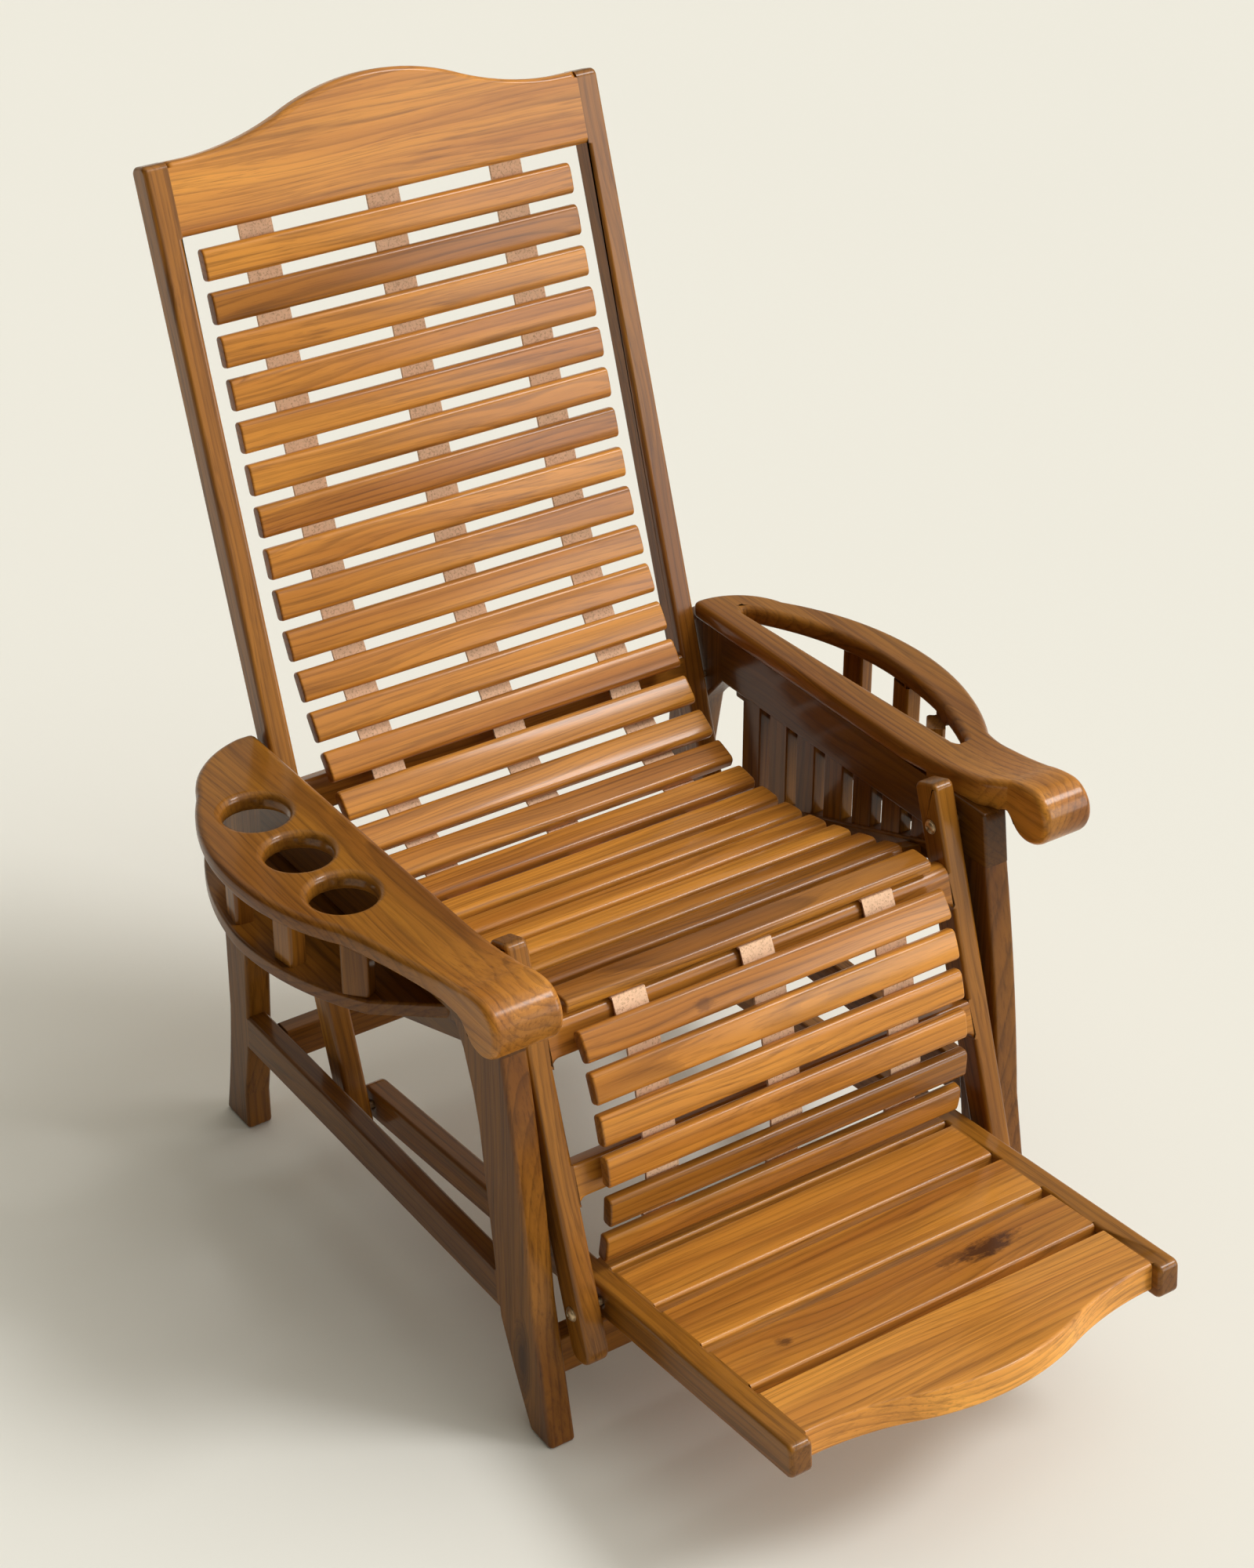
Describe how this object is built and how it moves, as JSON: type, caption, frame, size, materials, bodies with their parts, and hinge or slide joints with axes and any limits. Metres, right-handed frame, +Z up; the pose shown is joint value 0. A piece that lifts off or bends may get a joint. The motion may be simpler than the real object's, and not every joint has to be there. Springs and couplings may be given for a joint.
{
  "type": "planters chair",
  "caption": "Reclining wooden planters chair with a slatted sling mat, swinging back and calf frames, hanging footrest, cup holder arm and magazine slot arm.",
  "frame": {"origin": "on the floor, midway between the four feet", "axes": "+Z up; the sitter looks toward -Y; +X is the sitter's left, the side of the magazine slot"},
  "size_m": [0.8377, 1.1305, 1.119],
  "materials": {
    "wood": "polished teak",
    "slats": "polished teak slats",
    "strap": "light strap",
    "bolt": "dull steel"
  },
  "bodies": {
    "side_frames": {"front_cross_rail": "wood", "front_seat_bearer": "wood", "left_arm_rail": "wood", "left_arm_shelf": "wood", "left_arm_spindles": "wood", "left_armrest": "wood", "left_back_pivot": "bolt", "left_calf_pivot": "bolt", "left_front_leg": "wood", "left_lower_stretcher": "wood", "left_rear_leg": "wood", "left_seat_rail": "wood", "left_side_slats": "wood", "rear_cross_rail": "wood", "rear_seat_bearer": "wood", "right_arm_rail": "wood", "right_arm_shelf": "wood", "right_arm_spindles": "wood", "right_armrest": "wood", "right_back_pivot": "bolt", "right_calf_pivot": "bolt", "right_front_leg": "wood", "right_lower_stretcher": "wood", "right_rear_leg": "wood", "right_seat_rail": "wood", "right_side_slats": "wood", "seat_slats": "slats", "seat_straps": "strap"},
    "back": {"back_lower_rail": "wood", "back_slats": "slats", "back_straps": "strap", "crest_rail": "wood", "left_back_stile": "wood", "left_rear_footrest_pivot": "bolt", "right_back_stile": "wood", "right_rear_footrest_pivot": "bolt"},
    "calf": {"calf_middle_rail": "wood", "calf_slats": "slats", "calf_straps": "strap", "calf_top_rail": "wood", "left_calf_stile": "wood", "left_front_footrest_pivot": "bolt", "right_calf_stile": "wood", "right_front_footrest_pivot": "bolt"},
    "footrest": {"footrest_board_1": "wood", "footrest_board_2": "wood", "footrest_board_3": "wood", "footrest_front_board": "wood", "footrest_rear_bar": "wood", "left_footrest_rail": "wood", "right_footrest_rail": "wood"}
  },
  "joints": [
    {"name": "back_recline", "type": "hinge", "parent": "side_frames", "child": "back", "pos_m": [0, 0.232, 0.426], "axis": [-1, 0, 0], "range_deg": [-2.5, 18]},
    {"name": "calf_swing", "type": "hinge", "parent": "side_frames", "child": "calf", "pos_m": [0, -0.213, 0.466], "axis": [-1, 0, 0], "range_deg": [-2.5, 18]},
    {"name": "footrest_level", "type": "hinge", "parent": "calf", "child": "footrest", "pos_m": [0, -0.32113, 0.1447], "axis": [-1, 0, 0], "range_deg": [-18, 2.5]}
  ],
  "couplings": [
    {"joint": "calf_swing", "follows": "back_recline", "ratio": 1},
    {"joint": "footrest_level", "follows": "back_recline", "ratio": -1}
  ]
}
